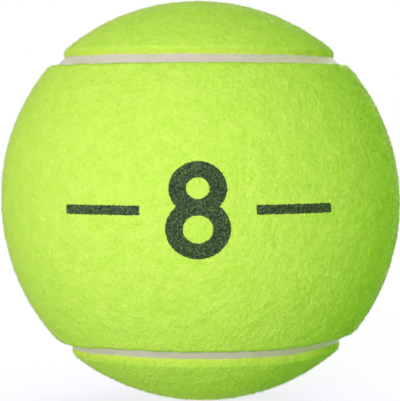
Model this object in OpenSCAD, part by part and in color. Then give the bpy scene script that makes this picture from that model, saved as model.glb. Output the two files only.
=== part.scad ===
// Pressurised tennis ball: two rubber half shells cured into one hollow core,
// a coat of rubber solution, two dumbbell felt panels and the rubber seam.
// Origin at the ball's centre. The front panel's band runs along X and faces -Y.
// The back panel is the front one turned half a turn about the line x = z, y = 0.

/* [Ball] */
// Diameter over the felt
ball_d = 66.8; // [64:0.1:70]

/* [Rubber core] */
// Wall of the core's half shells
core_wall = 3.5; // [2.5:0.1:5]
// Thickness of the cured rubber between the half shells' rims
joint_t = 0.2; // [0.1:0.05:0.6]
// Radius of the bead that the joint squeezes out inside the core
joint_bead_r = 0.45; // [0.35:0.05:0.9]
// Thickness of the rubber solution that bonds the felt to the core
coat_t = 0.15; // [0.05:0.05:0.5]

/* [Felt] */
// Thickness of the felt cloth with its nap
felt_t = 3.2; // [2.6:0.1:4.2]
// Radius of the felt's rounded edge along the seam
shoulder_r = 1.5; // [0.8:0.1:1.6]

/* [Seam] */
// Width of the seam's surface between the two felts
seam_w = 2.4; // [1.8:0.1:3.2]
// Gap between the cut edges of the felts down at the core
seam_root_w = 0.8; // [0.4:0.1:1.4]
// Depth of the seam's edges below the felt's surface
seam_depth = 1.1; // [0.9:0.05:1.6]
// Height of the seam's rounded crown above its edges
seam_crown = 0.15; // [0.05:0.05:0.4]

/* [Hidden] */
$fn = 96;

// The seam is four half circles, each a half turn about X or Z at this angle from that axis.
// Only at 45 degrees do neighbouring half circles meet in line.
seam_angle = 45;
half_turn = 180;
quarter_turn = 90;
ball_r = ball_d / 2;
felt_in_r = ball_r - felt_t;
core_r = felt_in_r - coat_t;
cavity_r = core_r - core_wall;
// How far cutting shapes run past what they cut
overrun = ball_d / 20;
reach = ball_r + overrun;

// Section of the seam, with x along the seam's direction from the centre and y across it.
// The felt's cut edge is the straight line from its root at the core to the seam's edge.
root_y = seam_root_w / 2;
root_x = sqrt(pow(felt_in_r, 2) - pow(root_y, 2));
edge_y = seam_w / 2;
edge_x = sqrt(pow(ball_r - seam_depth, 2) - pow(edge_y, 2));
flare = atan2(edge_y - root_y, edge_x - root_x);
crown_r = (pow(edge_y, 2) + pow(seam_crown, 2)) / (2 * seam_crown);

// Half width of the opening between the cut edges at a distance from the centre
function opening_y(x) = root_y + (x - root_x) * tan(flare);

// Centre of the rounded felt edge, which touches the cut edge and the felt's outer surface
wall_offset = edge_y * cos(flare) - edge_x * sin(flare);
shoulder_across = wall_offset + shoulder_r;
shoulder_along = sqrt(pow(ball_r - shoulder_r, 2) - pow(shoulder_across, 2));
shoulder_x = shoulder_along * cos(flare) - shoulder_across * sin(flare);
shoulder_y = shoulder_along * sin(flare) + shoulder_across * cos(flare);
shoulder = [shoulder_x, shoulder_y];
to_wall = [sin(flare), -cos(flare)];
to_surface = shoulder / norm(shoulder);

// Half ring section between two radii, on the side that a revolve takes
module shell_section(inner_r, outer_r) {
    difference() {
        circle(outer_r);
        circle(inner_r);
        translate([-2 * reach, -reach]) square(2 * reach);
    }
}

// The four-sided patch that holds the felt's corner between the rounded edge's two tangent points
module corner_patch() {
    side = shoulder_r + overrun / 2;
    polygon([
        shoulder,
        shoulder + side * to_wall,
        shoulder + side * (to_wall + to_surface),
        shoulder + side * to_surface
    ]);
}

// Everything past the felt's cut edge, on the seam's side
module past_cut_edge() {
    polygon([
        [0, opening_y(0)],
        [reach, opening_y(reach)],
        [reach, -reach],
        [0, -reach]
    ]);
}

// Section across a felt panel, whose middle lies on the x axis and whose edges lie at the seams
module felt_section() {
    difference() {
        shell_section(felt_in_r, ball_r);
        for (side = [0, 1]) mirror([0, side]) rotate(-seam_angle) {
            past_cut_edge();
            corner_patch();
        }
    }
    for (side = [0, 1]) mirror([0, side]) rotate(-seam_angle) intersection() {
        translate(shoulder) circle(shoulder_r);
        corner_patch();
    }
}

// Section across the seam's rubber: a wedge between the cut edges with a rounded crown
module seam_section() {
    difference() {
        intersection() {
            polygon([
                [root_x - overrun / 2, 0],
                [root_x - overrun / 2, root_y],
                [root_x, root_y],
                [reach, opening_y(reach)],
                [reach, -opening_y(reach)],
                [root_x, -root_y],
                [root_x - overrun / 2, -root_y]
            ]);
            translate([edge_x + seam_crown - crown_r, 0]) circle(crown_r);
        }
        circle(felt_in_r);
    }
}

// Half a turn about Z on the -Y side
module front_half_turn() {
    rotate([0, 0, half_turn]) rotate_extrude(angle = half_turn) children();
}

// Half a turn about X on the +Y side, for a section drawn along its +Z end or its -Z end
module back_half_turn(end) {
    rotate([0, end * quarter_turn, 0]) rotate_extrude(angle = half_turn) children();
}

// The right-hand half of a felt section that is turned to lie along the axis of a revolve
module lobe_section() {
    intersection() {
        rotate(quarter_turn) felt_section();
        translate([0, -reach]) square([reach, 2 * reach]);
    }
}

// Dumbbell panel: a band over half the ball's girth with a round lobe at each end
module felt_panel() {
    front_half_turn() felt_section();
    for (end = [-1, 1]) back_half_turn(end) lobe_section();
}

// Hemisphere of the core above its half of the joint
module core_half() {
    color([0.24, 0.24, 0.25]) rotate_extrude() intersection() {
        shell_section(cavity_r, core_r);
        translate([0, joint_t / 2]) square(reach);
    }
}

module core_half_upper() {
    core_half();
}

module core_half_lower() {
    mirror([0, 0, 1]) core_half();
}

// Ring between the rims, with the bead that stands into the cavity
module core_joint_cement() {
    color([0.36, 0.33, 0.28]) rotate_extrude() {
        intersection() {
            shell_section(cavity_r, core_r);
            translate([0, -joint_t / 2]) square([reach, joint_t]);
        }
        intersection() {
            translate([cavity_r, 0]) circle(joint_bead_r);
            circle(cavity_r);
        }
    }
}

module core_cement_coat() {
    color([0.72, 0.62, 0.42]) rotate_extrude() shell_section(core_r, felt_in_r);
}

module felt_panel_front() {
    color([0.72, 0.90, 0.29]) felt_panel();
}

module felt_panel_back() {
    color([0.68, 0.87, 0.27]) rotate(half_turn, [1, 0, 1]) felt_panel();
}

// One closed loop of four half rings, which meet in line in the plane y = 0
module seam_strip() {
    color([0.85, 0.83, 0.76]) {
        for (side = [0, 1]) mirror([0, 0, side]) front_half_turn() rotate(seam_angle) seam_section();
        for (end = [-1, 1]) back_half_turn(end) rotate(seam_angle) seam_section();
    }
}

core_half_upper();
core_half_lower();
core_joint_cement();
core_cement_coat();
felt_panel_front();
felt_panel_back();
seam_strip();
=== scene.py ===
"""Tennis ball: felt panels with their nap and print, rubber seam and core, in a plain white studio."""
import math

import bmesh
import bpy
import numpy as np
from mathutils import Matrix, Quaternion, Vector


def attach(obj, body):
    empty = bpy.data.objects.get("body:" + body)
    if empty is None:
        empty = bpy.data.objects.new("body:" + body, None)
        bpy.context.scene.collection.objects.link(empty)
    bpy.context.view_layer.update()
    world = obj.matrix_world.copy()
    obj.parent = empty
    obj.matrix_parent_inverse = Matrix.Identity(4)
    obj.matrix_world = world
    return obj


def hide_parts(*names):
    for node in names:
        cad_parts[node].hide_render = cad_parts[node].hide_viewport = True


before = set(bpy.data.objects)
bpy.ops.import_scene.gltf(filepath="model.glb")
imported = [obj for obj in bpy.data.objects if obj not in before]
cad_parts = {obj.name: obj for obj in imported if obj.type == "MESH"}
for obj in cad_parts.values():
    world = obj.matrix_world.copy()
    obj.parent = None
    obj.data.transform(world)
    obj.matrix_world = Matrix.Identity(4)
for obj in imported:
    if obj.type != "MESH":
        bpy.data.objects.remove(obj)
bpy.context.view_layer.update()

MM = 0.001

# Sizes of the ball, the same ones as in the part's source
BALL_R = 33.4 * MM
FELT_IN_R = 30.2 * MM
SEAM_ROOT_HALF_W = 0.4 * MM
SEAM_DEPTH = 1.1 * MM
SEAM_ANGLE = math.radians(45)

# Half the gap between the felts at the seam's depth, and how much higher the rubber lies in it,
# where the felts' rounded edges stand further apart
SEAM_HALF_W = 0.95 * MM
SEAM_RISE = 0.32 * MM
# How far the rubber runs on under each felt's edge
RUBBER_UNDER_FELT = 0.50 * MM

# The felt swells towards the seams, and the ball is a little out of round along one slanted line
SWELL = 1.15 * MM
SLANT = 0.42 * MM
MIDDLE_DIP = 0.24 * MM
# The lower seam's two ends wander this far round, the left one down and the right one up.
# The wander grows between these shares of the radius, to the sides and downwards.
LOWER_LEFT_TWIST = math.radians(1.7)
LOWER_RIGHT_TWIST = math.radians(1.4)
TWIST_ACROSS = (0.42, 0.60)
TWIST_DOWN = (0.35, 0.62)
# Radius of the felt's edge, and how far the pile fills it out past that plain rounding
EDGE_R = 1.40 * MM
EDGE_BULGE = 0.05 * MM

# Finishes: colours in linear light
FELT_LIGHT = (0.755, 1.000, 0.195, 1.0)
FELT_DEEP = (0.520, 0.900, 0.040, 1.0)
# Painted shade: a darker green where the felt's edge turns down into the seam's recess
FELT_EDGE_PAINTED_SHADE = (0.640, 0.860, 0.120, 1.0)
INK = (0.022, 0.050, 0.034, 1.0)
INK_WORN = (0.120, 0.170, 0.100, 1.0)
SEAM_RUBBER = (0.855, 0.695, 0.850, 1.0)
SEAM_RUBBER_GREY = (0.735, 0.575, 0.710, 1.0)
CORE_RUBBER = (0.045, 0.045, 0.048, 1.0)
CORE_RUBBER_WORN = (0.085, 0.084, 0.082, 1.0)
JOINT_CEMENT = (0.110, 0.092, 0.066, 1.0)
JOINT_CEMENT_PALE = (0.190, 0.160, 0.115, 1.0)
BONDING_COAT = (0.470, 0.340, 0.150, 1.0)
BONDING_COAT_PALE = (0.620, 0.490, 0.260, 1.0)


# Node helpers

def new_tree(name, kind, inputs, outputs):
    """A node group with named sockets, each given as (name, socket kind, default)."""
    tree = bpy.data.node_groups.new(name, kind)
    for label, socket, value in inputs:
        made = tree.interface.new_socket(label, in_out="INPUT", socket_type=socket)
        if value is not None:
            made.default_value = value
    for label, socket in outputs:
        tree.interface.new_socket(label, in_out="OUTPUT", socket_type=socket)
    return tree


def add(tree, kind, settings=None, **inputs):
    """A node with its settings, and its inputs by name with _ for a space, linked or set."""
    node = tree.nodes.new(kind)
    for key, value in (settings or {}).items():
        setattr(node, key, value)
    for key, value in inputs.items():
        feed(tree, node.inputs[key.replace("_", " ")], value)
    return node


def feed(tree, socket, value):
    """Links an output socket to an input, or sets the input's own value."""
    if isinstance(value, bpy.types.NodeSocket):
        tree.links.new(value, socket)
    else:
        socket.default_value = value


def calc(tree, operation, *values):
    """The result of a Math node."""
    node = tree.nodes.new("ShaderNodeMath")
    node.operation = operation
    for socket, value in zip(node.inputs, values):
        feed(tree, socket, value)
    return node.outputs[0]


def vector_calc(tree, operation, *values, scale=None):
    """The vector that a Vector Math node gives."""
    node = tree.nodes.new("ShaderNodeVectorMath")
    node.operation = operation
    for socket, value in zip(node.inputs, values):
        feed(tree, socket, value)
    if scale is not None:
        feed(tree, node.inputs["Scale"], scale)
    return node.outputs["Vector"]


def ramp(tree, value, low, high, to_low=0.0, to_high=1.0):
    """A value carried smoothly from one range to another and held inside it."""
    node = tree.nodes.new("ShaderNodeMapRange")
    node.interpolation_type = "SMOOTHSTEP"
    feed(tree, node.inputs["Value"], value)
    feed(tree, node.inputs["From Min"], low)
    feed(tree, node.inputs["From Max"], high)
    feed(tree, node.inputs["To Min"], to_low)
    feed(tree, node.inputs["To Max"], to_high)
    return node.outputs["Result"]


def noise(tree, vector, scale, detail=2.0, roughness=0.5):
    """A Noise Texture node."""
    return add(tree, "ShaderNodeTexNoise", Vector=vector, Scale=scale, Detail=detail, Roughness=roughness)


def blend_colours(tree, factor, first, second):
    """The colour between two others, by the colour sockets of a Mix node."""
    node = tree.nodes.new("ShaderNodeMix")
    node.data_type = "RGBA"
    feed(tree, node.inputs[0], factor)
    feed(tree, node.inputs[6], first)
    feed(tree, node.inputs[7], second)
    return node.outputs[2]


def named_value(tree, name):
    """A mesh's own attribute of numbers, in a geometry tree."""
    node = add(tree, "GeometryNodeInputNamedAttribute", {"data_type": "FLOAT"}, Name=name)
    return node.outputs["Attribute"]


def random_pick(tree, seed, count):
    """A random whole number for each point, from 0 up and below the count."""
    node = add(tree, "FunctionNodeRandomValue", {"data_type": "INT"}, Seed=calc(tree, "ADD", seed, 4.0))
    node.inputs[4].default_value = 0
    node.inputs[5].default_value = count - 1
    return node.outputs[2]


def random_number(tree, seed, offset, low, high):
    """A random number for each point, by a Random Value node's sockets for floats."""
    node = tree.nodes.new("FunctionNodeRandomValue")
    node.data_type = "FLOAT"
    feed(tree, node.inputs[2], low)
    feed(tree, node.inputs[3], high)
    feed(tree, node.inputs["Seed"], calc(tree, "ADD", seed, 10.0 * offset))
    return node.outputs[1]


# Effects that the finishes use

# Directions in which the felt's fibres lie across each other, as turns in radians
MAT_TURNS = [(0.2, 0.3, 0.1), (1.1, 0.5, 0.9), (0.4, 1.4, 1.9), (2.0, 0.9, 2.7)]
# How a fibre sways: waves along its length, and the sway as a share of the length
SWAY_WAVES = 0.8
SWAY_SHARE = 0.9
# Scales of the noises that lie on the felt whatever its fibres' size, in waves per metre
MOTTLE_SCALE = 420.0
RAGGED_SCALE = 2600.0
BARE_SPOT_SCALE = 3600.0
WEAR_SCALE = 3000.0


def fibre_mat_group():
    """Felt fibres lying across each other: stretched noise in several directions, bent by a softer one."""
    tree = new_tree("fibre_mat", "ShaderNodeTree", [
        ("Vector", "NodeSocketVector", None),
        ("Fibre length", "NodeSocketFloat", 0.9 * MM),
        ("Fibre width", "NodeSocketFloat", 0.14 * MM),
    ], [("Height", "NodeSocketFloat"), ("Mottle", "NodeSocketFloat")])
    source = tree.nodes.new("NodeGroupInput")
    place = source.outputs["Vector"]
    long_way = calc(tree, "DIVIDE", 1.0, source.outputs["Fibre length"])
    cross_way = calc(tree, "DIVIDE", 1.0, source.outputs["Fibre width"])
    sway = noise(tree, place, calc(tree, "MULTIPLY", long_way, SWAY_WAVES), detail=1.0)
    sway = vector_calc(tree, "SUBTRACT", sway.outputs["Color"], (0.5, 0.5, 0.5))
    swing = calc(tree, "MULTIPLY", source.outputs["Fibre length"], SWAY_SHARE)
    sway = vector_calc(tree, "SCALE", sway, scale=swing)
    bent = vector_calc(tree, "ADD", place, sway)
    stretch = add(tree, "ShaderNodeCombineXYZ", X=long_way, Y=cross_way, Z=cross_way).outputs[0]
    height = None
    for turn in MAT_TURNS:
        turned = add(tree, "ShaderNodeVectorRotate", {"rotation_type": "EULER_XYZ"},
                     Vector=bent, Rotation=turn)
        laid = vector_calc(tree, "MULTIPLY", turned.outputs[0], stretch)
        strand = noise(tree, laid, 1.0, detail=1.0).outputs[0]
        height = strand if height is None else calc(tree, "MAXIMUM", height, strand)
    mottle = noise(tree, place, MOTTLE_SCALE, detail=4.0, roughness=0.65).outputs[0]
    add(tree, "NodeGroupOutput", Height=ramp(tree, height, 0.44, 0.80), Mottle=mottle)
    return tree


# The print's figure 8: how much a way across counts in it, which makes it wider than round rings,
# and the two rings as (radius, middle), in shares of half the height
FIGURE_ACROSS = 0.92
FIGURE_RINGS = [(0.46, 0.54), (0.54, -0.46)]
# The bars beside the figure, how thick they are in shares of its stroke, and how soft the ink's edge is
BAR_MIDDLE = 15.5 * MM
BAR_HALF_LENGTH = 6.5 * MM
BAR_STROKE_SHARE = 0.6
INK_SOFTNESS = 0.07 * MM


def length_of(tree, first, second):
    """The length of a flat vector with these two parts."""
    squares = [calc(tree, "MULTIPLY", part, part) for part in (first, second)]
    return calc(tree, "SQRT", calc(tree, "ADD", *squares))


def arc_on_ball(tree, aside, ahead):
    """How far round the ball a point lies from the middle of its front, one way."""
    return calc(tree, "MULTIPLY", calc(tree, "ARCTAN2", aside, ahead), BALL_R)


def figure_distance(tree, across, up, height, half_stroke):
    """How far a point lies outside the stroke of the figure 8, which is two rings."""
    both_rings = calc(tree, "SUBTRACT", calc(tree, "MULTIPLY", height, 0.5), half_stroke)
    aside = calc(tree, "MULTIPLY", across, FIGURE_ACROSS)
    figure = None
    for share, middle in FIGURE_RINGS:
        radius = calc(tree, "MULTIPLY", both_rings, share)
        rise = calc(tree, "SUBTRACT", up, calc(tree, "MULTIPLY", both_rings, middle))
        off_ring = calc(tree, "SUBTRACT", length_of(tree, rise, aside), radius)
        ring = calc(tree, "SUBTRACT", calc(tree, "ABSOLUTE", off_ring), half_stroke)
        figure = ring if figure is None else calc(tree, "MINIMUM", figure, ring)
    return figure


def bars_distance(tree, across, up, half_stroke):
    """How far a point lies outside the two bars beside the figure."""
    off_middle = calc(tree, "SUBTRACT", calc(tree, "ABSOLUTE", across), BAR_MIDDLE)
    past_end = calc(tree, "SUBTRACT", calc(tree, "ABSOLUTE", off_middle), BAR_HALF_LENGTH)
    half_bar = calc(tree, "MULTIPLY", half_stroke, BAR_STROKE_SHARE)
    past_side = calc(tree, "SUBTRACT", calc(tree, "ABSOLUTE", up), half_bar)
    return calc(tree, "MAXIMUM", past_end, past_side)


def numeral_print_group():
    """The print at the front: a plain figure 8 between two bars, soaked unevenly into the felt."""
    tree = new_tree("numeral_print", "ShaderNodeTree", [
        ("Vector", "NodeSocketVector", None),
        ("Figure height", "NodeSocketFloat", 15.0 * MM),
        ("Stroke", "NodeSocketFloat", 2.5 * MM),
        ("Edge roughness", "NodeSocketFloat", 0.18 * MM),
    ], [("Ink", "NodeSocketFloat"), ("Wear", "NodeSocketFloat")])
    source = tree.nodes.new("NodeGroupInput")
    place = source.outputs["Vector"]
    ragged = noise(tree, place, RAGGED_SCALE, detail=2.0)
    ragged = vector_calc(tree, "SUBTRACT", ragged.outputs["Color"], (0.5, 0.5, 0.5))
    full_swing = calc(tree, "MULTIPLY", source.outputs["Edge roughness"], 2.0)
    ragged = vector_calc(tree, "SCALE", ragged, scale=full_swing)
    spot = add(tree, "ShaderNodeSeparateXYZ", Vector=vector_calc(tree, "ADD", place, ragged))
    x, y, z = spot.outputs
    across = arc_on_ball(tree, x, calc(tree, "MULTIPLY", y, -1.0))
    up = arc_on_ball(tree, z, length_of(tree, x, y))
    half_stroke = calc(tree, "MULTIPLY", source.outputs["Stroke"], 0.5)
    figure = figure_distance(tree, across, up, source.outputs["Figure height"], half_stroke)
    shape = calc(tree, "MINIMUM", figure, bars_distance(tree, across, up, half_stroke))
    inked = ramp(tree, shape, -INK_SOFTNESS, INK_SOFTNESS, 1.0, 0.0)
    front = calc(tree, "LESS_THAN", y, 0.0)
    bare = noise(tree, place, BARE_SPOT_SCALE, detail=2.0).outputs[0]
    covered = ramp(tree, bare, 0.62, 0.78, 1.0, 0.50)
    ink = calc(tree, "MULTIPLY", calc(tree, "MULTIPLY", inked, covered), front)
    worn = noise(tree, place, WEAR_SCALE, detail=2.0, roughness=0.6).outputs[0]
    add(tree, "NodeGroupOutput", Ink=ink, Wear=ramp(tree, worn, 0.38, 0.68))
    return tree


# Shares of the clouds and of the grain in a rubber's tone
CLOUD_SHARE = 0.6
GRAIN_SHARE = 0.4


def rubber_skin_group():
    """Moulded or cured rubber: fine grain over soft clouds, with paler spots."""
    tree = new_tree("rubber_skin", "ShaderNodeTree", [
        ("Vector", "NodeSocketVector", None),
        ("Grain", "NodeSocketFloat", 0.30 * MM),
        ("Cloud", "NodeSocketFloat", 4.0 * MM),
    ], [("Tone", "NodeSocketFloat"), ("Height", "NodeSocketFloat")])
    source = tree.nodes.new("NodeGroupInput")
    place = source.outputs["Vector"]
    grain = noise(tree, place, calc(tree, "DIVIDE", 1.0, source.outputs["Grain"]), detail=3.0).outputs[0]
    cloud = noise(tree, place, calc(tree, "DIVIDE", 1.0, source.outputs["Cloud"]), detail=2.0).outputs[0]
    tone = calc(tree, "ADD", calc(tree, "MULTIPLY", ramp(tree, cloud, 0.35, 0.65), CLOUD_SHARE),
                calc(tree, "MULTIPLY", ramp(tree, grain, 0.35, 0.70), GRAIN_SHARE))
    add(tree, "NodeGroupOutput", Tone=tone, Height=grain)
    return tree


# Materials

def new_material(name, roughness):
    """A material with its Principled shader and Object coordinates."""
    material = bpy.data.materials.new(name)
    material.use_nodes = True
    tree = material.node_tree
    shader = tree.nodes["Principled BSDF"]
    shader.inputs["Roughness"].default_value = roughness
    place = tree.nodes.new("ShaderNodeTexCoord").outputs["Object"]
    return material, tree, shader, place


def raise_surface(tree, shader, height, distance, strength):
    """Relief on a shader from a height."""
    bump = add(tree, "ShaderNodeBump", Height=height, Distance=distance, Strength=strength)
    tree.links.new(bump.outputs["Normal"], shader.inputs["Normal"])


def soften_fibres(tree, shader):
    """The soft glow of light scattered among felt fibres, and the pale rim that their tips catch."""
    shader.inputs["Specular IOR Level"].default_value = 0.03
    shader.inputs["Sheen Weight"].default_value = 0.08
    shader.inputs["Sheen Roughness"].default_value = 0.8
    shader.inputs["Sheen Tint"].default_value = (1.0, 0.85, 0.35, 1.0)
    facing = add(tree, "ShaderNodeLayerWeight", Blend=0.5).outputs["Facing"]
    feed(tree, shader.inputs["Coat Weight"], ramp(tree, facing, 0.72, 0.94))
    shader.inputs["Coat Roughness"].default_value = 0.6
    shader.inputs["Coat IOR"].default_value = 2.1


def dye_and_print(tree, shader, place, tone):
    """Colours felt between the deep and the light tone of its yellow, with painted shade where its edge
    turns down to the seam, under the print's worn ink.
    """
    dyed = blend_colours(tree, tone, FELT_DEEP, FELT_LIGHT)
    # Painted shade: the felt darkens towards the foot of its edge, where the pile falls away into the seam
    pile = add(tree, "ShaderNodeAttribute", {"attribute_name": "pile"}).outputs["Fac"]
    dyed = blend_colours(tree, ramp(tree, pile, 0.78, 1.0), FELT_EDGE_PAINTED_SHADE, dyed)
    printed = add(tree, "ShaderNodeGroup", {"node_tree": NUMERAL_PRINT}, Vector=place)
    ink = blend_colours(tree, printed.outputs["Wear"], INK, INK_WORN)
    feed(tree, shader.inputs["Base Color"], blend_colours(tree, printed.outputs["Ink"], dyed, ink))


# The cloth's range of random tones between the felt's deep and light yellow, and the painted light that its
# fibres' tops add over painted shade in the gaps between them
CLOTH_TONES = (0.50, 0.85)
CLOTH_TOPS_PAINTED_SHADE = 0.12


def felt_cloth():
    """Body of the felt: matted fibres in random mottled tones, dyed optic yellow and printed in front, with
    painted light on the fibres' tops and painted shade in the gaps between them.
    """
    material, tree, shader, place = new_material("felt_cloth", roughness=0.95)
    mat = add(tree, "ShaderNodeGroup", {"node_tree": FIBRE_MAT},
              Vector=place, Fibre_length=0.9 * MM, Fibre_width=0.26 * MM)
    # Painted shade: the fibres' relief height, which also raises the bump, lightens their tops and darkens
    # the gaps
    tone = calc(tree, "ADD", calc(tree, "MULTIPLY", mat.outputs["Height"], CLOTH_TOPS_PAINTED_SHADE),
                ramp(tree, mat.outputs["Mottle"], 0.36, 0.64, *CLOTH_TONES))
    dye_and_print(tree, shader, place, tone)
    raise_surface(tree, shader, mat.outputs["Height"], distance=0.07 * MM, strength=1.0)
    soften_fibres(tree, shader)
    return material


def felt_nap():
    """Single fibres of the nap, each with its own tone, inked where the print crosses them."""
    material, tree, shader, place = new_material("felt_nap", roughness=0.9)
    tone = add(tree, "ShaderNodeAttribute", {"attribute_name": "fibre_tone"}).outputs["Fac"]
    dye_and_print(tree, shader, place, tone)
    soften_fibres(tree, shader)
    return material


# Waves per metre of the seam's faint lines: along it, across it
SEAM_LINES = (160.0, 2600.0, 1.0)
# How far the roughness of a core rubber's tones goes either way
ROUGHNESS_SPREAD = 0.08


def seam_rubber():
    """Pale grey seam rubber with faint lines along the seam and paler spots."""
    material, tree, shader, place = new_material("seam_rubber", roughness=0.55)
    skin = add(tree, "ShaderNodeGroup", {"node_tree": RUBBER_SKIN},
               Vector=place, Grain=0.35 * MM, Cloud=3.0 * MM)
    line = add(tree, "ShaderNodeUVMap", {"uv_map": "seam_run"}).outputs["UV"]
    drawn_out = vector_calc(tree, "MULTIPLY", line, SEAM_LINES)
    drawn = noise(tree, drawn_out, 1.0, detail=2.0).outputs[0]
    half_tone = calc(tree, "MULTIPLY", skin.outputs["Tone"], 0.5)
    tone = calc(tree, "ADD", half_tone, ramp(tree, drawn, 0.35, 0.68, 0.0, 0.5))
    feed(tree, shader.inputs["Base Color"], blend_colours(tree, tone, SEAM_RUBBER_GREY, SEAM_RUBBER))
    relief = calc(tree, "ADD", skin.outputs["Height"], drawn)
    raise_surface(tree, shader, relief, distance=0.05 * MM, strength=0.6)
    return material


def rubber(name, dark, pale, roughness, grain, cloud):
    """Rubber or cement of the core, from a dark and a pale tone."""
    material, tree, shader, place = new_material(name, roughness)
    skin = add(tree, "ShaderNodeGroup", {"node_tree": RUBBER_SKIN}, Vector=place, Grain=grain, Cloud=cloud)
    feed(tree, shader.inputs["Base Color"], blend_colours(tree, skin.outputs["Tone"], dark, pale))
    spread = ramp(tree, skin.outputs["Tone"], 0.0, 1.0,
                  roughness - ROUGHNESS_SPREAD, roughness + ROUGHNESS_SPREAD)
    feed(tree, shader.inputs["Roughness"], spread)
    raise_surface(tree, shader, skin.outputs["Height"], distance=0.06 * MM, strength=0.5)
    return material


# Shape of the felt panels

# Steps of the felt's mesh: round its edge, from its middle to the edge, along the band, and inside
SHOULDER_STEPS = 6
FELT_ROWS = 80
BAND_COLUMNS = 350
INNER_ROWS = 4
# The pile is 1 on top of the felt, this share at the foot of its edge, and 0 under it
EDGE_PILE = 0.2
# Points of the felt's mesh closer than this are one
WELD_DISTANCE = 0.002 * MM

# Flat map of a panel, in mm: its side, and where the band, the lobes and their inner faces lie on it.
# Each lobe is (its end of the X axis, its middle), and the hidden inner faces are shrunk to a share.
MAP_SIDE = 112.0
BAND_LEVEL = 28.0
INNER_BAND_LEVEL = 102.0
INNER_BAND_SHARE = 0.3
LOBE_MIDDLES = [(-1.0, 27.8), (1.0, 84.0)]
LOBE_LEVEL = 58.0
INNER_LOBE_LEVEL = 87.5
INNER_LOBE_SHARE = 0.2


def felt_edge():
    """The felt's rounded shoulder and cut edge: angles from the panel's middle, and radii."""
    root_x = math.sqrt(FELT_IN_R ** 2 - SEAM_ROOT_HALF_W ** 2)
    edge_x = math.sqrt((BALL_R - SEAM_DEPTH) ** 2 - SEAM_HALF_W ** 2)
    flare = math.atan2(SEAM_HALF_W - SEAM_ROOT_HALF_W, edge_x - root_x)
    wall_offset = SEAM_HALF_W * math.cos(flare) - edge_x * math.sin(flare)
    across = wall_offset + EDGE_R
    along = math.sqrt((BALL_R - EDGE_R) ** 2 - across ** 2)
    centre = np.array([along * math.cos(flare) - across * math.sin(flare),
                       along * math.sin(flare) + across * math.cos(flare)])
    start = math.atan2(centre[1], centre[0])
    arc = np.linspace(start, flare - math.pi / 2, SHOULDER_STEPS + 1)[:, None]
    bulge = EDGE_BULGE * np.sin(np.linspace(0.0, math.pi, SHOULDER_STEPS + 1))[:, None]
    points = centre + (EDGE_R + bulge) * np.hstack([np.cos(arc), np.sin(arc)])
    points = np.vstack([points, [root_x, SEAM_ROOT_HALF_W]])
    return SEAM_ANGLE - np.arctan2(points[:, 1], points[:, 0]), np.hypot(points[:, 0], points[:, 1])


def felt_faces():
    """A felt section's outer and inner face, from its middle to the cut edge's root.

    Each is (angle, radius, pile, run), and the run is the way along the face in mm.
    """
    edge_angle, edge_radius = felt_edge()
    angle = np.concatenate([np.linspace(0.0, edge_angle[0], FELT_ROWS + 1), edge_angle[1:]])
    radius = np.concatenate([np.full(FELT_ROWS + 1, BALL_R), edge_radius[1:]])
    height = np.clip((radius - (BALL_R - SEAM_DEPTH)) / SEAM_DEPTH, 0.0, 1.0)
    pile = EDGE_PILE + (1.0 - EDGE_PILE) * height
    pile[-1] = 0.0
    radius = radius + pile * (SWELL * (1 - np.cos(angle)) - MIDDLE_DIP)
    inner_angle = np.linspace(0.0, edge_angle[-1], INNER_ROWS + 1)
    inner_radius = np.full(INNER_ROWS + 1, FELT_IN_R)
    faces = []
    for turn, far, soft in [(angle, radius, pile), (inner_angle, inner_radius, 0.0 * inner_angle)]:
        steps = np.hypot(np.diff(turn) * far[1:], np.diff(far)) / MM
        faces.append((turn, far, soft, np.concatenate([[0.0], np.cumsum(steps)])))
    return faces


def out_of_round(unit):
    """How far the ball's surface stands out in a direction, along the slanted line."""
    return -SLANT * unit[..., 0] * unit[..., 2]


def placed(unit, radius, pile):
    """Points in the given directions, where the soft ones also follow the slant."""
    return unit * (radius + pile * out_of_round(unit))[..., None]


def band_direction(angle, run):
    """Direction at an angle from the band's middle, and a run from -X round the front to +X."""
    angle, run = np.broadcast_arrays(angle, run)
    return np.stack([-np.cos(angle) * np.cos(run), -np.cos(angle) * np.sin(run), np.sin(angle)], axis=-1)


def lobe_direction(angle, turn, end):
    """Direction at an angle from the middle of the lobe at one end, turned from +Z over the back to -Z."""
    angle, turn = np.broadcast_arrays(angle, turn)
    away = np.sin(angle)
    return np.stack([end * np.cos(angle), away * np.sin(turn), away * np.cos(turn)], axis=-1)


def half_disc():
    """Half a square laid smoothly into half a disc.

    Gives each point's share of the radius, its turn, and the turns of the points along the rim.
    """
    across = np.linspace(-1.0, 1.0, 2 * FELT_ROWS + 1)[:, None]
    back = np.linspace(0.0, 1.0, FELT_ROWS + 1)[None, :]
    share = np.maximum(np.abs(across), back)
    safe = np.maximum(share, 1e-9)
    low_side = back / safe * math.pi / 4
    high_side = math.pi / 2 - np.abs(across) / safe * math.pi / 4
    swing = np.where(np.abs(across) >= back, low_side, high_side)
    turn = np.where(across >= 0, swing, math.pi - swing)
    rim = np.concatenate([turn[-1, :], turn[-2::-1, -1], turn[0, -2::-1]])
    return share, turn, rim


def add_grid(parts, points, pile, across_map, up_map):
    """Adds the quads between rows of points, with their pile and flat map, to a mesh's parts."""
    rows, columns = points.shape[:2]
    index = parts["count"] + np.arange(rows * columns).reshape(rows, columns)
    flat = np.stack(np.broadcast_arrays(across_map, up_map), axis=-1)
    low, high = slice(0, -1), slice(1, None)
    corners = [(low, low), (low, high), (high, high), (high, low)]
    parts["points"].append(points.reshape(-1, 3))
    parts["pile"].append(np.broadcast_to(pile, (rows, columns)).reshape(-1))
    parts["faces"].append(np.stack([index[c] for c in corners], axis=-1).reshape(-1, 4))
    parts["map"].append(np.stack([flat[c] for c in corners], axis=-2).reshape(-1, 2))
    parts["count"] += rows * columns


def edge_to_edge(values, sign=1.0):
    """Values of one side of a section, from its middle outwards, as values from edge to edge in a column."""
    return np.concatenate([sign * values[:0:-1], values])[:, None]


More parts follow.
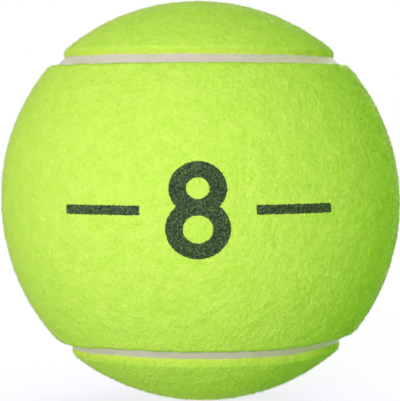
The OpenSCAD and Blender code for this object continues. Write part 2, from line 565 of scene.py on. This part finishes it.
def felt_panel_mesh(name):
    """The front panel's mesh with its flat map: a band over half the girth, and a round lobe at each end."""
    outer, inner = felt_faces()
    parts = {"points": [], "pile": [], "faces": [], "map": [], "count": 0}

    run = np.linspace(0.0, math.pi, BAND_COLUMNS + 1)[None, :]
    for (angle, radius, pile, reach), level, squeeze in [
            (outer, BAND_LEVEL, 1.0), (inner, INNER_BAND_LEVEL, INNER_BAND_SHARE)]:
        unit = band_direction(edge_to_edge(angle, -1.0), run)
        soft = edge_to_edge(pile)
        add_grid(parts, placed(unit, edge_to_edge(radius), soft), soft,
                 run * BALL_R / MM, level + squeeze * edge_to_edge(reach, -1.0))

    share, turn, rim = half_disc()
    angle, radius, _, reach = outer
    for end, middle in LOBE_MIDDLES:
        spot = share * angle[FELT_ROWS]
        swelled = np.interp(spot, angle[:FELT_ROWS + 1], radius[:FELT_ROWS + 1])
        gone = share * reach[FELT_ROWS]
        add_grid(parts, placed(lobe_direction(spot, turn, end), swelled, 1.0), 1.0,
                 middle + gone * np.cos(turn), LOBE_LEVEL + gone * np.sin(turn))
        for face, first, level, squeeze in [
                (outer, FELT_ROWS, LOBE_LEVEL, 1.0), (inner, 0, INNER_LOBE_LEVEL, INNER_LOBE_SHARE)]:
            angles, radii, piles, gone = [values[first:, None] for values in face]
            add_grid(parts, placed(lobe_direction(angles, rim, end), radii, piles), piles,
                     middle + squeeze * gone * np.cos(rim), level + squeeze * gone * np.sin(rim))
    return joined_mesh(name, parts)


def joined_mesh(name, parts):
    """One smooth closed mesh from its parts, with doubles merged, and with its flat map and pile."""
    mesh = bpy.data.meshes.new(name)
    mesh.from_pydata(np.concatenate(parts["points"]), [], np.concatenate(parts["faces"]))
    flat = np.concatenate(parts["map"]).ravel() / MAP_SIDE
    mesh.uv_layers.new(name="OFBake").uv.foreach_set("vector", flat)
    pile = mesh.attributes.new("pile", "FLOAT", "POINT")
    pile.data.foreach_set("value", np.concatenate(parts["pile"]))
    shape = bmesh.new()
    shape.from_mesh(mesh)
    bmesh.ops.remove_doubles(shape, verts=shape.verts, dist=WELD_DISTANCE)
    bmesh.ops.recalc_face_normals(shape, faces=shape.faces)
    for face in shape.faces:
        face.smooth = True
    shape.to_mesh(mesh)
    shape.free()
    return mesh


def read(data, name, width=1, kind=np.float32):
    """What each item of a mesh's data holds under a name, as an array with this many columns."""
    values = np.empty(len(data) * width, kind)
    data.foreach_get(name, values)
    return values.reshape(-1, width) if width > 1 else values


def move_points(mesh, points):
    """Gives a mesh's points new places."""
    mesh.vertices.foreach_set("co", points.astype(np.float32).ravel())
    mesh.update()


def to_back(mesh):
    """Turns the front panel's mesh half a turn about the line x = z, y = 0, to where the back one lies."""
    points = read(mesh.vertices, "co", 3)[:, [2, 1, 0]] * np.array([1, -1, 1], np.float32)
    move_points(mesh, points)


def smooth_step(value, low, high):
    """0 below one bound, 1 above the other, and a smooth rise between them."""
    share = np.clip((value - low) / (high - low), 0.0, 1.0)
    return share * share * (3.0 - 2.0 * share)


def twist_lower_ends(mesh):
    """Turns what lies round the lower seam's ends a little about Y, so that the seam wanders there."""
    points = read(mesh.vertices, "co", 3).astype(float)
    unit = points / np.linalg.norm(points, axis=1)[:, None]
    turn = np.where(unit[:, 0] < 0, LOWER_LEFT_TWIST, LOWER_RIGHT_TWIST)
    turn = turn * smooth_step(np.abs(unit[:, 0]), *TWIST_ACROSS) * smooth_step(-unit[:, 2], *TWIST_DOWN)
    x, y, z = points.T
    cos, sin = np.cos(turn), np.sin(turn)
    move_points(mesh, np.stack([x * cos - z * sin, y, x * sin + z * cos], axis=-1))


# Geometry Nodes

def store(tree, geometry, name, value, domain="POINT", kind="FLOAT"):
    """Geometry that keeps a value under a name."""
    return add(tree, "GeometryNodeStoreNamedAttribute", {"data_type": kind, "domain": domain},
               Geometry=geometry, Name=name, Value=value).outputs[0]


def hand_out(tree, source, geometry):
    """Ends a tree: its geometry gets the tree's material and is handed out."""
    dressed = add(tree, "GeometryNodeSetMaterial", Geometry=geometry, Material=source.outputs["Material"])
    add(tree, "NodeGroupOutput", Geometry=dressed.outputs[0])
    return tree


def felt_relief_tree():
    """Soft lumps and small tufts on a felt panel, and the wavy line of its edges."""
    tree = new_tree("felt_relief", "GeometryNodeTree", [
        ("Geometry", "NodeSocketGeometry", None),
        ("Lump size", "NodeSocketFloat", 3.2 * MM),
        ("Lump height", "NodeSocketFloat", 0.17 * MM),
        ("Tuft size", "NodeSocketFloat", 0.55 * MM),
        ("Tuft height", "NodeSocketFloat", 0.20 * MM),
        ("Seed", "NodeSocketFloat", 3.0),
        ("Material", "NodeSocketMaterial", None),
    ], [("Geometry", "NodeSocketGeometry")])
    source = tree.nodes.new("NodeGroupInput")
    place = tree.nodes.new("GeometryNodeInputPosition").outputs[0]
    pile = named_value(tree, "pile")
    shift = add(tree, "ShaderNodeCombineXYZ", X=source.outputs["Seed"]).outputs[0]
    moved = vector_calc(tree, "ADD", place, shift)
    height = None
    for label, detail in [("Lump", 2.0), ("Tuft", 3.0)]:
        scale = calc(tree, "DIVIDE", 1.0, source.outputs[label + " size"])
        rise = noise(tree, moved, scale, detail=detail, roughness=0.55).outputs[0]
        rise = calc(tree, "MULTIPLY", calc(tree, "SUBTRACT", rise, 0.5), source.outputs[label + " height"])
        height = rise if height is None else calc(tree, "ADD", height, rise)
    # A noise less 0.5 goes half way up and down, so it's doubled
    height = calc(tree, "MULTIPLY", calc(tree, "MULTIPLY", height, pile), 2.0)
    outward = vector_calc(tree, "SCALE", vector_calc(tree, "NORMALIZE", place), scale=height)
    wave = add(tree, "GeometryNodeGroup", {"node_tree": EDGE_WAVE}, Position=place)
    # The edges wander most at their foot, while the root and the inner face, without pile, stay in place
    near_edge = calc(tree, "SUBTRACT", 1.0, pile)
    soft = calc(tree, "GREATER_THAN", pile, 0.01)
    wavy = vector_calc(tree, "SCALE", wave.outputs["Offset"], scale=calc(tree, "MULTIPLY", near_edge, soft))
    shaped = add(tree, "GeometryNodeSetPosition", Geometry=source.outputs["Geometry"],
                 Offset=vector_calc(tree, "ADD", outward, wavy))
    return hand_out(tree, source, shaped.outputs[0])


def edge_wave_tree():
    """How the felt's cut edges wander."""
    tree = new_tree("edge_wave", "GeometryNodeTree", [
        ("Position", "NodeSocketVector", None),
        ("Wave length", "NodeSocketFloat", 2.2 * MM),
        ("Wave", "NodeSocketFloat", 1.00 * MM),
    ], [("Offset", "NodeSocketVector")])
    source = tree.nodes.new("NodeGroupInput")
    scale = calc(tree, "DIVIDE", 1.0, source.outputs["Wave length"])
    field = noise(tree, source.outputs["Position"], scale, detail=2.0).outputs["Color"]
    field = vector_calc(tree, "SUBTRACT", field, (0.5, 0.5, 0.5))
    add(tree, "NodeGroupOutput", Offset=vector_calc(tree, "SCALE", field, scale=source.outputs["Wave"]))
    return tree


# How strongly the nap thins out where the pile falls towards the felt's edge
EDGE_THINNING = 1.5
# Ways in which a fibre bends, the radius of its three-sided section for its width, and its root's depth
FIBRE_BENDS = [(0.7, 0.5), (-0.8, 0.2), (0.3, 0.9), (-0.2, 0.7)]
WIDTH_TO_RADIUS = 0.58
FIBRE_ROOT = 0.12
# Ranges of the fibres' sizes and tones, and their size at the foot of the felt's edge
FIBRE_SIZES = (0.55, 1.35)
FIBRE_TONES = (0.82, 1.0)
EDGE_FIBRE_SIZE = 0.5


def bent_spikes(tree, source):
    """The shapes that a fibre is picked from: thin spikes, each bent its own way."""
    shapes = tree.nodes.new("GeometryNodeJoinGeometry")
    length = source.outputs["Fibre length"]
    for bend_x, bend_y in FIBRE_BENDS:
        spike = add(tree, "GeometryNodeMeshCone", {"fill_type": "NGON"}, Vertices=3, Depth=length,
                    Side_Segments=source.outputs["Segments"], Radius_Top=0.0,
                    Radius_Bottom=calc(tree, "MULTIPLY", source.outputs["Fibre width"], WIDTH_TO_RADIUS))
        place = tree.nodes.new("GeometryNodeInputPosition").outputs[0]
        height = add(tree, "ShaderNodeSeparateXYZ", Vector=place)
        share = calc(tree, "DIVIDE", height.outputs["Z"], length)
        swing = calc(tree, "MULTIPLY", calc(tree, "MULTIPLY", share, share),
                     calc(tree, "MULTIPLY", source.outputs["Curl"], length))
        aside = add(tree, "ShaderNodeCombineXYZ", X=calc(tree, "MULTIPLY", swing, bend_x),
                    Y=calc(tree, "MULTIPLY", swing, bend_y), Z=calc(tree, "MULTIPLY", length, -FIBRE_ROOT))
        bent = add(tree, "GeometryNodeSetPosition", Geometry=spike.outputs["Mesh"], Offset=aside.outputs[0])
        smooth = add(tree, "GeometryNodeSetShadeSmooth", Geometry=bent.outputs[0])
        single = add(tree, "GeometryNodeGeometryToInstance", Geometry=smooth.outputs[0])
        tree.links.new(single.outputs[0], shapes.inputs[0])
    return shapes.outputs[0]


def turned_by(tree, rotation, **turn):
    """A rotation turned further about one of its own axes."""
    by = add(tree, "ShaderNodeCombineXYZ", **turn).outputs[0]
    return add(tree, "FunctionNodeRotateRotation", {"rotation_space": "LOCAL"},
               Rotation=rotation, Rotate_By=by).outputs[0]


def nap_tree():
    """Nap fibres set over a felt panel: thin bent spikes, turned and leaned at random."""
    tree = new_tree("nap_fibres", "GeometryNodeTree", [
        ("Geometry", "NodeSocketGeometry", None),
        ("Fibres per area", "NodeSocketFloat", 4.0e6),
        ("Fibre length", "NodeSocketFloat", 1.1 * MM),
        ("Fibre width", "NodeSocketFloat", 0.07 * MM),
        ("Lean", "NodeSocketFloat", 1.1),
        ("Lean spread", "NodeSocketFloat", 0.3),
        ("Curl", "NodeSocketFloat", 0.5),
        ("Segments", "NodeSocketInt", 2),
        ("Seed", "NodeSocketInt", 1),
        ("Material", "NodeSocketMaterial", None),
    ], [("Geometry", "NodeSocketGeometry")])
    source = tree.nodes.new("NodeGroupInput")
    seed = source.outputs["Seed"]
    pile = named_value(tree, "pile")
    thinned = calc(tree, "POWER", pile, EDGE_THINNING)
    density = calc(tree, "MULTIPLY", source.outputs["Fibres per area"], thinned)
    spread = add(tree, "GeometryNodeDistributePointsOnFaces",
                 Mesh=source.outputs["Geometry"], Density=density, Seed=seed)
    middle, spare = source.outputs["Lean"], source.outputs["Lean spread"]
    spin = random_number(tree, seed, 1, 0.0, 2 * math.pi)
    lean = random_number(tree, seed, 2, calc(tree, "SUBTRACT", middle, spare),
                         calc(tree, "ADD", middle, spare))
    leaned = turned_by(tree, turned_by(tree, spread.outputs["Rotation"], Z=spin), X=lean)
    shorter = ramp(tree, pile, EDGE_PILE, 1.0, EDGE_FIBRE_SIZE, 1.0)
    size = calc(tree, "MULTIPLY", random_number(tree, seed, 3, *FIBRE_SIZES), shorter)
    fibres = add(tree, "GeometryNodeInstanceOnPoints", Points=spread.outputs["Points"],
                 Instance=bent_spikes(tree, source), Pick_Instance=True,
                 Instance_Index=random_pick(tree, seed, len(FIBRE_BENDS)), Rotation=leaned, Scale=size)
    tone = random_number(tree, seed, 5, *FIBRE_TONES)
    toned = store(tree, fibres.outputs[0], "fibre_tone", tone, "INSTANCE")
    grounded = store(tree, toned, "ground", spread.outputs["Normal"], "INSTANCE", "FLOAT_VECTOR")
    real = add(tree, "GeometryNodeRealizeInstances", Geometry=grounded)
    return hand_out(tree, source, real.outputs[0])


# Cuts in each side of the rubber's section, and how near its top counts as on it
SECTION_CUTS = 11
TOP_MARGIN = 0.001 * MM


def rubber_section(tree, source):
    """Section across the seam's rubber: a wedge with a rounded crown."""
    edge, root = source.outputs["Edge half width"], source.outputs["Root half width"]
    depth = calc(tree, "MULTIPLY", source.outputs["Depth"], -1.0)
    minus = [calc(tree, "MULTIPLY", value, -1.0) for value in (edge, root)]
    corners = [(0.0, minus[0]), (0.0, edge), (depth, root), (depth, minus[1])]
    section = add(tree, "GeometryNodeCurvePrimitiveQuadrilateral", {"mode": "POINTS"})
    for number, (x, y) in enumerate(corners):
        corner = add(tree, "ShaderNodeCombineXYZ", X=x, Y=y)
        feed(tree, section.inputs["Point %d" % (number + 1)], corner.outputs[0])
    cut = add(tree, "GeometryNodeSubdivideCurve", Curve=section.outputs[0], Cuts=SECTION_CUTS)
    place = tree.nodes.new("GeometryNodeInputPosition").outputs[0]
    spot = add(tree, "ShaderNodeSeparateXYZ", Vector=place)
    share = calc(tree, "DIVIDE", spot.outputs["Y"], edge)
    rounding = calc(tree, "SUBTRACT", 1.0, calc(tree, "MULTIPLY", share, share))
    bulge = calc(tree, "MULTIPLY", rounding, source.outputs["Crown"])
    top = calc(tree, "GREATER_THAN", spot.outputs["X"], -TOP_MARGIN)
    lifted = add(tree, "ShaderNodeCombineXYZ", X=calc(tree, "MULTIPLY", bulge, top))
    crowned = add(tree, "GeometryNodeSetPosition", Geometry=cut.outputs[0], Offset=lifted.outputs[0])
    return crowned.outputs[0]


def seam_tree():
    """The seam's rubber: its section carried along the seam's line, upright on the ball."""
    tree = new_tree("seam_sweep", "GeometryNodeTree", [
        ("Geometry", "NodeSocketGeometry", None),
        ("Edge half width", "NodeSocketFloat", SEAM_HALF_W + RUBBER_UNDER_FELT),
        ("Root half width", "NodeSocketFloat", SEAM_ROOT_HALF_W),
        ("Depth", "NodeSocketFloat", 2.405 * MM),
        ("Crown", "NodeSocketFloat", 0.06 * MM),
        ("Material", "NodeSocketMaterial", None),
    ], [("Geometry", "NodeSocketGeometry")])
    source = tree.nodes.new("NodeGroupInput")
    place = tree.nodes.new("GeometryNodeInputPosition").outputs[0]
    upright = add(tree, "GeometryNodeSetCurveNormal", {"mode": "FREE"}, Curve=source.outputs["Geometry"],
                  Normal=vector_calc(tree, "NORMALIZE", place))
    run = add(tree, "GeometryNodeSplineParameter").outputs["Factor"]
    marked = store(tree, upright.outputs[0], "run", run)
    section = store(tree, rubber_section(tree, source), "girth", run)
    swept = add(tree, "GeometryNodeCurveToMesh", Curve=marked, Profile_Curve=section)
    smooth = add(tree, "GeometryNodeSetShadeSmooth", Geometry=swept.outputs[0])
    return hand_out(tree, source, smooth.outputs[0])


def grown(name, data, tree, **inputs):
    """A plain mesh object made by running a Geometry Nodes tree, with its inputs by name, on some data."""
    host = bpy.data.objects.new(name + "_host", data)
    bpy.context.scene.collection.objects.link(host)
    modifier = host.modifiers.new("grow", "NODES")
    modifier.node_group = tree
    for item in tree.interface.items_tree:
        key = item.name.replace(" ", "_")
        if item.item_type == "SOCKET" and item.in_out == "INPUT" and key in inputs:
            modifier[item.identifier] = inputs[key]
    shown = host.evaluated_get(bpy.context.evaluated_depsgraph_get())
    mesh = bpy.data.meshes.new_from_object(shown)
    mesh.name = name
    bpy.data.objects.remove(host)
    piece = bpy.data.objects.new(name, mesh)
    bpy.context.scene.collection.objects.link(piece)
    return piece


def seam_line(steps):
    """The seam's line as a closed curve: four half circles at 45 degrees about Z and X."""
    radius = math.sqrt((BALL_R - SEAM_DEPTH) ** 2 - SEAM_HALF_W ** 2) + SEAM_RISE
    side = radius * math.sin(SEAM_ANGLE)
    half = np.linspace(0.0, math.pi, steps, endpoint=False)
    level = np.full(steps, side)
    top = np.stack([-side * np.cos(half), -side * np.sin(half), level], axis=-1)
    right = np.stack([level, side * np.sin(half), side * np.cos(half)], axis=-1)
    bottom = np.stack([side * np.cos(half), -side * np.sin(half), -level], axis=-1)
    left = np.stack([-level, side * np.sin(half), -side * np.cos(half)], axis=-1)
    points = np.concatenate([top, right, bottom, left])
    curve = bpy.data.curves.new("seam_line", "CURVE")
    curve.dimensions = "3D"
    spline = curve.splines.new("POLY")
    spline.points.add(len(points) - 1)
    spline.points.foreach_set("co", np.hstack([points, np.ones((len(points), 1))]).ravel())
    spline.use_cyclic_u = True
    return curve


# Shared effects and materials of this ball

FIBRE_MAT = fibre_mat_group()
NUMERAL_PRINT = numeral_print_group()
RUBBER_SKIN = rubber_skin_group()
EDGE_WAVE = edge_wave_tree()

cloth = felt_cloth()
nap = felt_nap()
relief = felt_relief_tree()
nap_grower = nap_tree()


# Felt panels

# Layer, fibres per square metre, length, width, lean, spread of the lean, curl and segments of a fibre
NAP_LAYERS = [
    ("lying", 2.6e6, 0.70 * MM, 0.065 * MM, 1.38, 0.16, 0.4, 2),
    ("raised", 6.7e6, 0.50 * MM, 0.110 * MM, 1.30, 0.22, 0.0, 1),
    ("stray", 4.0e6, 0.40 * MM, 0.040 * MM, 0.65, 0.45, 0.5, 1),
]
# Share of a fibre's own roundness in how it takes the light, beside the felt's surface
FIBRE_ROUNDNESS = 0.50


def shade_as_ground(fibres):
    """Lights fibres much as the felt under them: light passes through them, so none has a dark side."""
    mesh = fibres.data
    ground = read(mesh.attributes["ground"].data, "vector", 3)
    facing = ground + FIBRE_ROUNDNESS * read(mesh.vertex_normals, "vector", 3)
    mesh.normals_split_custom_set_from_vertices(facing / np.linalg.norm(facing, axis=1)[:, None])
    mesh.attributes.remove(mesh.attributes["ground"])


def make_felt(name, node, seed, turned):
    """A felt panel in place of its CAD node, with its nap in layers."""
    mesh = felt_panel_mesh(name)
    if turned:
        to_back(mesh)
    twist_lower_ends(mesh)
    panel = grown(name, mesh, relief, Seed=seed, Material=cloth)
    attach(panel, "root")
    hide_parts(node)
    for number, (layer, per_area, length, width, lean, spread, curl, segments) in enumerate(NAP_LAYERS):
        fibres = grown("%s_nap_%s" % (name, layer), panel.data, nap_grower, Fibres_per_area=per_area,
                       Fibre_length=length, Fibre_width=width, Lean=lean, Lean_spread=spread, Curl=curl,
                       Segments=segments, Seed=int(10 * seed) + number, Material=nap)
        shade_as_ground(fibres)
        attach(fibres, "root")


make_felt("felt_front", "felt_panel_front", 3.0, False)
make_felt("felt_back", "felt_panel_back", 7.0, True)


# Seam

# Steps in each of the seam's half circles, its length and girth on its map, and its map's rows and margins
SEAM_STEPS = 240
SEAM_LENGTH = 287.0 * MM
SEAM_GIRTH = 7.0 * MM
SEAM_MAP_ROWS = 6
ROW_MARGIN = 0.04
END_MARGIN = 0.01


def unrolled(share):
    """Shares of the way round at each face's corners, where a face over the start goes past 1."""
    return np.where(share.max(1, keepdims=True) - share > 0.5, share + 1.0, share)


def lay_flat(mesh, name, across, up):
    """Gives a mesh a flat map from both coordinates of each face's corners."""
    flat = np.stack([across, up], axis=-1).astype(np.float32).ravel()
    mesh.uv_layers.new(name=name).data.foreach_set("uv", flat)


def make_seam():
    """The seam's rubber in place of its CAD node, with a flat map in rows."""
    seam = grown("seam_rubber_strip", seam_line(SEAM_STEPS), seam_tree(), Material=seam_rubber())
    mesh = seam.data
    points = read(mesh.vertices, "co", 3)
    radius = np.linalg.norm(points, axis=1)
    share = np.clip((radius - FELT_IN_R) / (BALL_R - SEAM_DEPTH - FELT_IN_R), 0.0, 1.0)
    move_points(mesh, placed(points / radius[:, None], radius, share))
    twist_lower_ends(mesh)
    corners = read(mesh.loops, "vertex_index", kind=np.int32).reshape(-1, 4)
    run = unrolled(read(mesh.attributes["run"].data, "value")[corners])
    girth = unrolled(read(mesh.attributes["girth"].data, "value")[corners])
    lay_flat(mesh, "seam_run", run * SEAM_LENGTH, girth * SEAM_GIRTH)
    row = np.floor(run.mean(1, keepdims=True) * SEAM_MAP_ROWS)
    along = END_MARGIN + (1.0 - 2.0 * END_MARGIN) * (run * SEAM_MAP_ROWS - row)
    up = (row + ROW_MARGIN + (1.0 - 2.0 * ROW_MARGIN) * girth) / SEAM_MAP_ROWS
    lay_flat(mesh, "OFBake", along, up)
    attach(seam, "root")
    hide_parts("seam_strip")


make_seam()


# Core

def finish_node(node, material):
    """Gives a CAD node its material."""
    for piece_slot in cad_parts[node].material_slots:
        piece_slot.material = material


core = rubber("core_rubber", CORE_RUBBER, CORE_RUBBER_WORN,
              roughness=0.62, grain=0.35 * MM, cloud=6.0 * MM)
finish_node("core_half_upper", core)
finish_node("core_half_lower", core)
joint = rubber("joint_cement", JOINT_CEMENT, JOINT_CEMENT_PALE,
               roughness=0.5, grain=0.25 * MM, cloud=2.5 * MM)
finish_node("core_joint_cement", joint)
coat = rubber("bonding_coat", BONDING_COAT, BONDING_COAT_PALE,
              roughness=0.45, grain=0.5 * MM, cloud=5.0 * MM)
finish_node("core_cement_coat", coat)


# Studio

# The light from all round, and what the camera sees in its place
AMBIENT = (0.355, 0.60, 0.12, 1.0)
WHITE = (1.0, 1.0, 1.0, 1.0)
# The floor's paint, by which it gives light back to the ball
PALE_FLOOR = (0.30, 0.40, 0.14, 1.0)
# The floor as the camera sees it: a paint that keeps a grey shadow, and a glow that makes up white,
# which changes over this range of ways from the ball's foot
WHITE_FLOOR = (0.60, 0.54, 0.75, 1.0)
GLOW_NEAR_BALL = (0.67, 0.58, 0.78, 1.0)
GLOW_FAR_OFF = (0.77, 0.66, 0.91, 1.0)
GLOW_CHANGES = (250.0 * MM, 800.0 * MM)
# The light that the floor gives the ball besides, which changes over a range of its own
LIGHT_UNDER_BALL = (0.30, 0.42, 0.08, 1.0)
LIGHT_OF_FLOOR = (0.08, 0.20, 0.00, 1.0)
LIGHT_CHANGES = (6.0 * MM, 24.0 * MM)
# Side of the floor, in metres
FLOOR_SIDE = 6.0


def make_floor():
    """A plain white floor that keeps the ball's soft shadow and shows as a white background."""
    bpy.ops.mesh.primitive_plane_add(size=FLOOR_SIDE, location=(0.0, 0.0, -BALL_R))
    floor = bpy.context.object
    floor.name = "studio_floor"
    material = bpy.data.materials.new("studio_floor")
    material.use_nodes = True
    tree = material.node_tree
    tree.nodes.clear()
    seen = seen_directly(tree)
    place = tree.nodes.new("ShaderNodeTexCoord").outputs["Object"]
    gone = add(tree, "ShaderNodeVectorMath", {"operation": "LENGTH"}, Vector=place).outputs["Value"]
    matte = add(tree, "ShaderNodeBsdfDiffuse", Color=blend_colours(tree, seen, PALE_FLOOR, WHITE_FLOOR))
    glow = blend_colours(tree, ramp(tree, gone, *GLOW_CHANGES), GLOW_NEAR_BALL, GLOW_FAR_OFF)
    given = blend_colours(tree, ramp(tree, gone, *LIGHT_CHANGES), LIGHT_UNDER_BALL, LIGHT_OF_FLOOR)
    glow = blend_colours(tree, seen, given, glow)
    glow = add(tree, "ShaderNodeEmission", Color=glow, Strength=1.0)
    both = tree.nodes.new("ShaderNodeAddShader")
    tree.links.new(matte.outputs[0], both.inputs[0])
    tree.links.new(glow.outputs[0], both.inputs[1])
    out = tree.nodes.new("ShaderNodeOutputMaterial")
    tree.links.new(both.outputs[0], out.inputs["Surface"])
    floor.data.materials.append(material)


def seen_directly(tree):
    """1 where the camera sees a thing, also by gloss or through glass, and 0 elsewhere."""
    path = tree.nodes.new("ShaderNodeLightPath")
    seen = calc(tree, "MAXIMUM", path.outputs["Is Camera Ray"], path.outputs["Is Glossy Ray"])
    return calc(tree, "MAXIMUM", seen, path.outputs["Is Transmission Ray"])


def make_world():
    """Even pale light from all round, which the camera sees as white."""
    world = bpy.data.worlds.new("studio_world")
    world.use_nodes = True
    tree = world.node_tree
    background = tree.nodes["Background"]
    background.inputs["Strength"].default_value = 1.0
    shown = blend_colours(tree, seen_directly(tree), AMBIENT, WHITE)
    feed(tree, background.inputs["Color"], shown)
    bpy.context.scene.world = world


def add_softbox(name, place, size, power, colour):
    """A square area light aimed at the ball."""
    light = bpy.data.lights.new(name, "AREA")
    light.size = size
    light.energy = power
    light.color = colour
    lamp = bpy.data.objects.new(name, light)
    lamp.location = place
    lamp.rotation_euler = (-Vector(place)).to_track_quat("-Z", "Y").to_euler()
    lamp.visible_camera = False
    bpy.context.scene.collection.objects.link(lamp)


make_floor()
make_world()
add_softbox("key_softbox", place=(-0.27, -0.75, 0.03), size=0.32, power=6.3, colour=(0.93, 0.71, 1.0))
add_softbox("side_softbox", place=(0.72, 0.42, 0.02), size=0.35, power=1.0, colour=(0.90, 0.90, 0.80))
add_softbox("back_softbox", place=(0.15, 0.80, 0.40), size=0.60, power=2.6, colour=(0.98, 0.89, 1.0))


# Camera

CAMERA_DISTANCE = 9.0 * BALL_R
CAMERA_AIM = Vector((-0.08 * MM, 0.0, 0.0))
CAMERA_AZIMUTH = math.radians(0.7)
CAMERA_ELEVATION = math.radians(2.6)
CAMERA_ROLL = math.radians(0.36)
# Lens and sensor as photographers write them, in mm
FOCAL_LENGTH = 160.5
SENSOR_WIDTH = 36.0


def make_camera():
    """The photograph's viewpoint: level with the ball, a little above its middle."""
    data = bpy.data.cameras.new("camera")
    data.sensor_width = SENSOR_WIDTH
    data.lens = FOCAL_LENGTH
    data.clip_start = 10.0 * MM
    camera = bpy.data.objects.new("camera", data)
    level = math.cos(CAMERA_ELEVATION)
    back = Vector((math.sin(CAMERA_AZIMUTH) * level, -math.cos(CAMERA_AZIMUTH) * level,
                   math.sin(CAMERA_ELEVATION)))
    camera.location = CAMERA_AIM + back * CAMERA_DISTANCE
    camera.rotation_mode = "QUATERNION"
    lean = Quaternion((0.0, 0.0, -1.0), CAMERA_ROLL)
    camera.rotation_quaternion = (-back).to_track_quat("-Z", "Y") @ lean
    bpy.context.scene.collection.objects.link(camera)
    bpy.context.scene.camera = camera


make_camera()
bpy.context.scene.view_settings.view_transform = "Standard"
